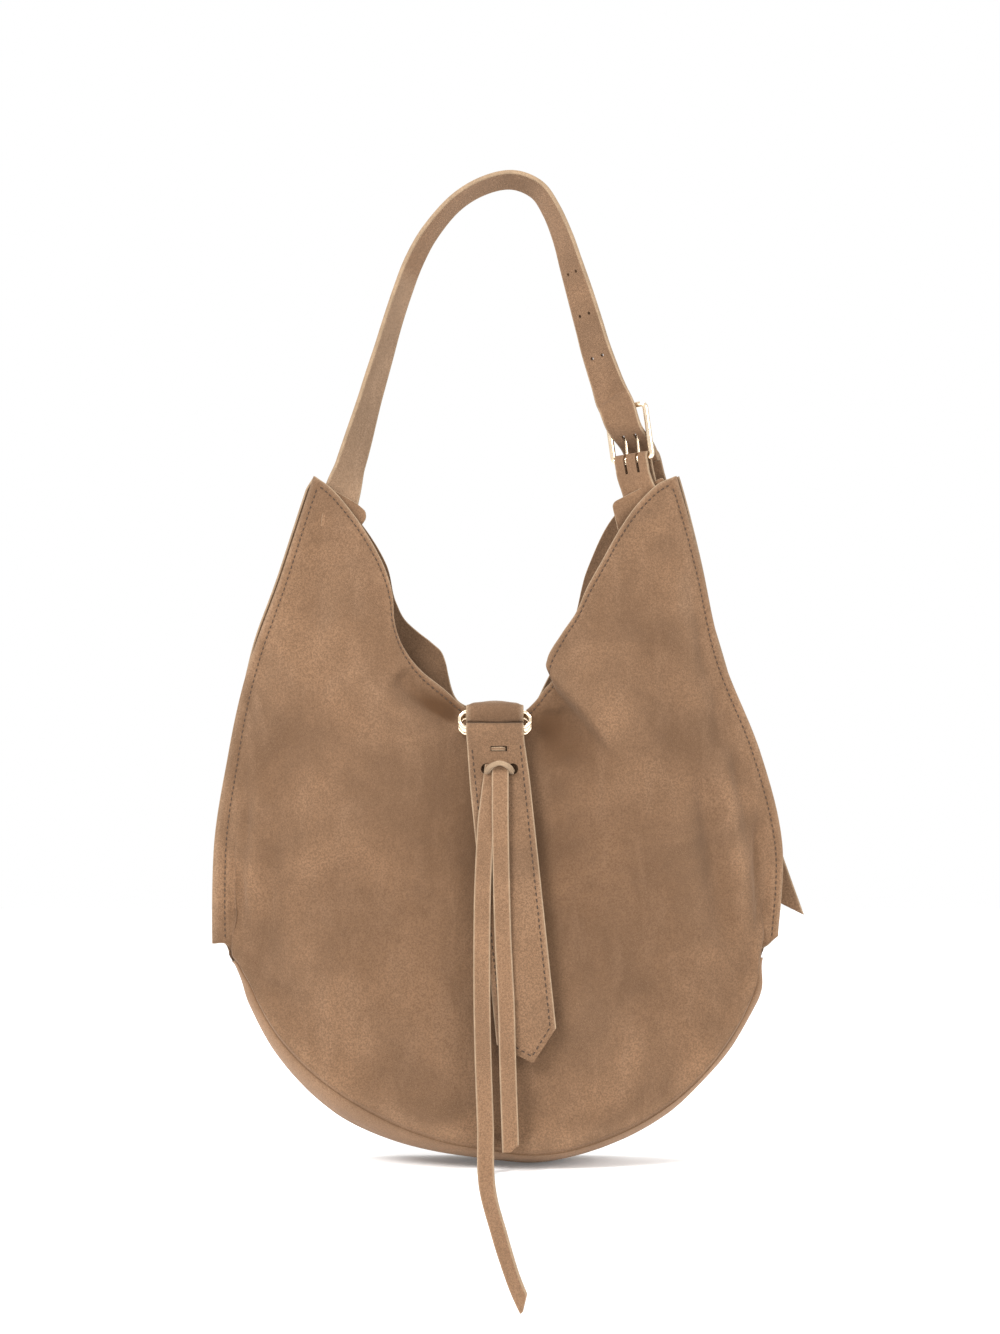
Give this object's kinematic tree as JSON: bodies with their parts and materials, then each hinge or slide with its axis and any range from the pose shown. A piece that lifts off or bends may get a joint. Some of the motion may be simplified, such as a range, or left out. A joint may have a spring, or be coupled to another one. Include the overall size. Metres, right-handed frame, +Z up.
{
  "type": "hobo bag",
  "caption": "Soft suede hobo bag with a scooped mouth, buckled shoulder strap, ring closure, long stitched tongue and laced thong.",
  "frame": {"origin": "underside of the shoulder strap at the top of its loop, where the peg holds it", "axes": "+Z up, +X to the right of someone who looks at the front, the front faces -Y"},
  "size_m": [0.4064, 0.0993, 0.7739],
  "materials": {
    "suede": "soft brushed tan suede with a mottled nap and pale raw edges",
    "gold": "polished pale gold plating",
    "snap_metal": "nickel-plated magnetic snap"
  },
  "bodies": {
    "strap": {"shoulder_strap": "suede"},
    "bag": {"front_panel": "suede", "back_panel": "suede", "bottom_gusset": "suede", "strap_left_end": "suede", "strap_buckled_run": "suede", "buckle_strap": "suede", "buckle_strap_end": "suede", "anchor_patch_left": "suede", "anchor_patch_right": "suede", "closure_tab_base": "suede", "snap_socket": "snap_metal", "snap_socket_washer": "snap_metal"},
    "buckle": {"buckle_frame": "gold"},
    "prong_left": {"buckle_prong_left": "gold"},
    "prong_right": {"buckle_prong_right": "gold"},
    "tail": {"strap_tail": "suede"},
    "tab": {"closure_tab": "suede"},
    "ring": {"closure_ring": "gold"},
    "tongue": {"tongue_face": "suede", "tongue_backing": "suede", "snap_stud": "snap_metal", "thong_knot": "suede"},
    "thong_tail_long": {"thong_long": "suede"},
    "thong_tail_short": {"thong_short": "suede"}
  },
  "joints": [
    {"name": "bag_swing", "type": "hinge", "parent": "strap", "child": "bag", "pos_m": [0, 0, -0.14], "axis": [1, 0, 0], "range_deg": [-45, 45]},
    {"name": "buckle_tilt", "type": "hinge", "parent": "bag", "child": "buckle", "pos_m": [0.0805, 0, -0.1905], "axis": [0.8531, -0.4691, 0.2285], "range_deg": [-1.5, 1.5]},
    {"name": "prong_left_tilt", "type": "hinge", "parent": "buckle", "child": "prong_left", "pos_m": [0.0805, 0, -0.1905], "axis": [0.8531, -0.4691, 0.2285], "range_deg": [-3, 0]},
    {"name": "prong_right_tilt", "type": "hinge", "parent": "buckle", "child": "prong_right", "pos_m": [0.0805, 0, -0.1905], "axis": [0.8531, -0.4691, 0.2285], "range_deg": [-3, 0]},
    {"name": "tail_swing", "type": "hinge", "parent": "bag", "child": "tail", "pos_m": [0.09, 0.0125, -0.2025], "axis": [1, 0, 0], "range_deg": [0, 40]},
    {"name": "tab_lift", "type": "hinge", "parent": "bag", "child": "tab", "pos_m": [-0.0117, 0.02, -0.3582], "axis": [-1, 0, 0], "range_deg": [0, 100]},
    {"name": "ring_swing", "type": "hinge", "parent": "tab", "child": "ring", "pos_m": [-0.0117, -0.028, -0.363], "axis": [-1, 0, 0], "range_deg": [0, 60]},
    {"name": "tongue_swing", "type": "hinge", "parent": "ring", "child": "tongue", "pos_m": [-0.0117, -0.028, -0.3781], "axis": [-1, 0, 0], "range_deg": [0, 60]},
    {"name": "thong_long_swing", "type": "hinge", "parent": "tongue", "child": "thong_tail_long", "pos_m": [-0.02, -0.0366, -0.4065], "axis": [-1, 0, 0], "range_deg": [0, 50]},
    {"name": "thong_short_swing", "type": "hinge", "parent": "tongue", "child": "thong_tail_short", "pos_m": [-0.008, -0.0356, -0.4005], "axis": [-1, 0, 0], "range_deg": [0, 50]}
  ]
}
